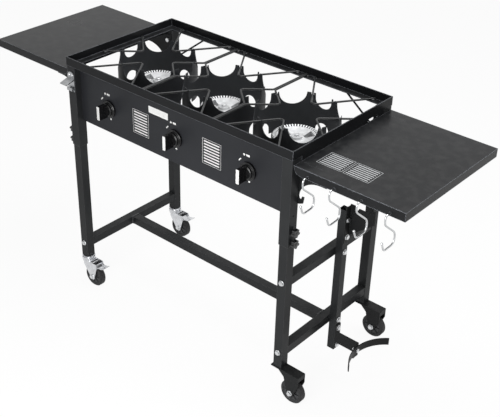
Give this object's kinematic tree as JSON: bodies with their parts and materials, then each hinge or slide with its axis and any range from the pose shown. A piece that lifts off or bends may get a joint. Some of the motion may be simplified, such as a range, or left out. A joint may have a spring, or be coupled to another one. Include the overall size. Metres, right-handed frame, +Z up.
{
  "type": "outdoor gas stove cart",
  "caption": "Free-standing outdoor gas stove cart with burners in wind rings, side shelves, hooks, a tank holder and wheels.",
  "frame": {"origin": "on the floor, in the middle of the cart's length and depth", "axes": "+Z up, +X towards the end with the tank holder and the fixed wheels, -Y towards the control panel"},
  "size_m": [1.598, 0.504, 0.852],
  "materials": {
    "black_steel": "black powder coat, satin",
    "panel_steel": "dark grey powder coat, satin",
    "black_plate": "black powder coat on plate, semi-gloss",
    "ring_steel": "black heat resistant paint, matte",
    "wire_steel": "black painted wire, semi-gloss",
    "shelf_steel": "dark grey powder coat, fine texture",
    "zinc_bolts": "bright zinc plated",
    "chrome": "polished",
    "zinc_stamping": "zinc plated stamping",
    "cast_aluminium": "as cast, machined rim",
    "brass": "machined",
    "valve_steel": "turned",
    "wheel_rubber": "matte black",
    "knob_plastic": "gloss black",
    "clamp_plastic": "matte black",
    "opener_steel": "brushed"
  },
  "bodies": {
    "lower_frame": {"leg_front_left": "black_steel", "leg_front_right": "black_steel", "leg_back_left": "black_steel", "leg_back_right": "black_steel", "crossbars": "black_steel", "stretcher": "black_steel", "tank_post": "black_steel", "tank_hanger": "black_plate", "tank_arm": "black_plate", "tank_cradle": "black_plate", "wheel_brackets": "black_plate", "wheel_axles": "zinc_bolts", "caster_stems": "zinc_stamping", "base_bolts": "zinc_bolts"},
    "cooking_frame": {"top_frame": "black_steel", "leg_sleeves": "black_steel", "control_panel": "panel_steel", "wind_ring_1": "ring_steel", "wind_ring_2": "ring_steel", "wind_ring_3": "ring_steel", "burner_1": "cast_aluminium", "burner_2": "cast_aluminium", "burner_3": "cast_aluminium", "pot_wires": "wire_steel", "gas_manifold": "black_plate", "inlet_fitting": "brass", "gas_valves": "brass", "shelf_gussets": "black_plate", "top_bolts": "zinc_bolts", "bottle_opener": "opener_steel"},
    "wheel_front": {"wheel_front": "wheel_rubber"},
    "wheel_back": {"wheel_back": "wheel_rubber"},
    "caster_front": {"caster_front_fork": "zinc_stamping", "caster_front_axle": "zinc_bolts"},
    "caster_front_wheel": {"caster_front_wheel": "wheel_rubber"},
    "caster_front_brake": {"caster_front_brake": "zinc_stamping"},
    "caster_back": {"caster_back_fork": "zinc_stamping", "caster_back_axle": "zinc_bolts"},
    "caster_back_wheel": {"caster_back_wheel": "wheel_rubber"},
    "caster_back_brake": {"caster_back_brake": "zinc_stamping"},
    "stem_1": {"valve_stem_1": "valve_steel"},
    "knob_1": {"knob_1": "knob_plastic"},
    "stem_2": {"valve_stem_2": "valve_steel"},
    "knob_2": {"knob_2": "knob_plastic"},
    "stem_3": {"valve_stem_3": "valve_steel"},
    "knob_3": {"knob_3": "knob_plastic"},
    "clamp_front_left_low": {"clamp_front_left_low": "clamp_plastic"},
    "clamp_front_left_high": {"clamp_front_left_high": "clamp_plastic"},
    "clamp_front_right_low": {"clamp_front_right_low": "clamp_plastic"},
    "clamp_front_right_high": {"clamp_front_right_high": "clamp_plastic"},
    "clamp_back_left_low": {"clamp_back_left_low": "clamp_plastic"},
    "clamp_back_left_high": {"clamp_back_left_high": "clamp_plastic"},
    "clamp_back_right_low": {"clamp_back_right_low": "clamp_plastic"},
    "clamp_back_right_high": {"clamp_back_right_high": "clamp_plastic"},
    "shelf_left": {"shelf_left": "shelf_steel"},
    "shelf_right": {"shelf_right": "shelf_steel"},
    "hook_1": {"hook_1": "chrome"},
    "hook_2": {"hook_2": "chrome"},
    "hook_3": {"hook_3": "chrome"},
    "hook_4": {"hook_4": "chrome"}
  },
  "joints": [
    {"name": "height_slide", "type": "slide", "parent": "lower_frame", "child": "cooking_frame", "axis": [0, 0, 1], "range_m": [-0.08, 0]},
    {"name": "wheel_front_spin", "type": "hinge", "parent": "lower_frame", "child": "wheel_front", "pos_m": [0.486, -0.201, 0.04], "axis": [0, 1, 0], "continuous": true},
    {"name": "wheel_back_spin", "type": "hinge", "parent": "lower_frame", "child": "wheel_back", "pos_m": [0.486, 0.229, 0.04], "axis": [0, 1, 0], "continuous": true},
    {"name": "caster_front_swivel", "type": "hinge", "parent": "lower_frame", "child": "caster_front", "pos_m": [-0.432, -0.201, 0.1], "axis": [0, 0, 1], "continuous": true},
    {"name": "caster_front_spin", "type": "hinge", "parent": "caster_front", "child": "caster_front_wheel", "pos_m": [-0.4, -0.201, 0.04], "axis": [0, 1, 0], "continuous": true},
    {"name": "caster_front_brake", "type": "hinge", "parent": "caster_front", "child": "caster_front_brake", "pos_m": [-0.383, -0.201, 0.084], "axis": [0, 1, 0], "range_deg": [0, 18]},
    {"name": "caster_back_swivel", "type": "hinge", "parent": "lower_frame", "child": "caster_back", "pos_m": [-0.432, 0.229, 0.1], "axis": [0, 0, 1], "continuous": true},
    {"name": "caster_back_spin", "type": "hinge", "parent": "caster_back", "child": "caster_back_wheel", "pos_m": [-0.4, 0.229, 0.04], "axis": [0, 1, 0], "continuous": true},
    {"name": "caster_back_brake", "type": "hinge", "parent": "caster_back", "child": "caster_back_brake", "pos_m": [-0.383, 0.229, 0.084], "axis": [0, 1, 0], "range_deg": [0, 18]},
    {"name": "knob_1_push", "type": "slide", "parent": "cooking_frame", "child": "stem_1", "axis": [0, 1, 0], "range_m": [0, 0.003], "stiffness_N_per_m": 1500, "springref_m": -0.002},
    {"name": "knob_1_turn", "type": "hinge", "parent": "stem_1", "child": "knob_1", "pos_m": [-0.283, -0.2, 0.722], "axis": [0, -1, 0], "range_deg": [0, 180]},
    {"name": "knob_2_push", "type": "slide", "parent": "cooking_frame", "child": "stem_2", "axis": [0, 1, 0], "range_m": [0, 0.003], "stiffness_N_per_m": 1500, "springref_m": -0.002},
    {"name": "knob_2_turn", "type": "hinge", "parent": "stem_2", "child": "knob_2", "pos_m": [0, -0.2, 0.722], "axis": [0, -1, 0], "range_deg": [0, 180]},
    {"name": "knob_3_push", "type": "slide", "parent": "cooking_frame", "child": "stem_3", "axis": [0, 1, 0], "range_m": [0, 0.003], "stiffness_N_per_m": 1500, "springref_m": -0.002},
    {"name": "knob_3_turn", "type": "hinge", "parent": "stem_3", "child": "knob_3", "pos_m": [0.283, -0.2, 0.722], "axis": [0, -1, 0], "range_deg": [0, 180]},
    {"name": "clamp_front_left_low_turn", "type": "hinge", "parent": "cooking_frame", "child": "clamp_front_left_low", "pos_m": [-0.4495, -0.201, 0.56], "axis": [-1, 0, 0], "continuous": true},
    {"name": "clamp_front_left_high_turn", "type": "hinge", "parent": "cooking_frame", "child": "clamp_front_left_high", "pos_m": [-0.4495, -0.201, 0.596], "axis": [-1, 0, 0], "continuous": true},
    {"name": "clamp_front_right_low_turn", "type": "hinge", "parent": "cooking_frame", "child": "clamp_front_right_low", "pos_m": [0.4495, -0.201, 0.56], "axis": [1, 0, 0], "continuous": true},
    {"name": "clamp_front_right_high_turn", "type": "hinge", "parent": "cooking_frame", "child": "clamp_front_right_high", "pos_m": [0.4495, -0.201, 0.596], "axis": [1, 0, 0], "continuous": true},
    {"name": "clamp_back_left_low_turn", "type": "hinge", "parent": "cooking_frame", "child": "clamp_back_left_low", "pos_m": [-0.4495, 0.229, 0.56], "axis": [-1, 0, 0], "continuous": true},
    {"name": "clamp_back_left_high_turn", "type": "hinge", "parent": "cooking_frame", "child": "clamp_back_left_high", "pos_m": [-0.4495, 0.229, 0.596], "axis": [-1, 0, 0], "continuous": true},
    {"name": "clamp_back_right_low_turn", "type": "hinge", "parent": "cooking_frame", "child": "clamp_back_right_low", "pos_m": [0.4495, 0.229, 0.56], "axis": [1, 0, 0], "continuous": true},
    {"name": "clamp_back_right_high_turn", "type": "hinge", "parent": "cooking_frame", "child": "clamp_back_right_high", "pos_m": [0.4495, 0.229, 0.596], "axis": [1, 0, 0], "continuous": true},
    {"name": "shelf_left_lift", "type": "slide", "parent": "cooking_frame", "child": "shelf_left", "axis": [0, 0, 1], "range_m": [0, 0.024]},
    {"name": "shelf_right_lift", "type": "slide", "parent": "cooking_frame", "child": "shelf_right", "axis": [0, 0, 1], "range_m": [0, 0.024]},
    {"name": "hook_1_swing", "type": "hinge", "parent": "shelf_right", "child": "hook_1", "pos_m": [0.498, -0.21425, 0.793], "axis": [0, 1, 0], "range_deg": [-30, 8]},
    {"name": "hook_2_swing", "type": "hinge", "parent": "shelf_right", "child": "hook_2", "pos_m": [0.5835, -0.21425, 0.793], "axis": [0, 1, 0], "range_deg": [-30, 30]},
    {"name": "hook_3_swing", "type": "hinge", "parent": "shelf_right", "child": "hook_3", "pos_m": [0.669, -0.21425, 0.793], "axis": [0, 1, 0], "range_deg": [-30, 30]},
    {"name": "hook_4_swing", "type": "hinge", "parent": "shelf_right", "child": "hook_4", "pos_m": [0.7545, -0.21425, 0.793], "axis": [0, 1, 0], "range_deg": [-30, 30]}
  ]
}
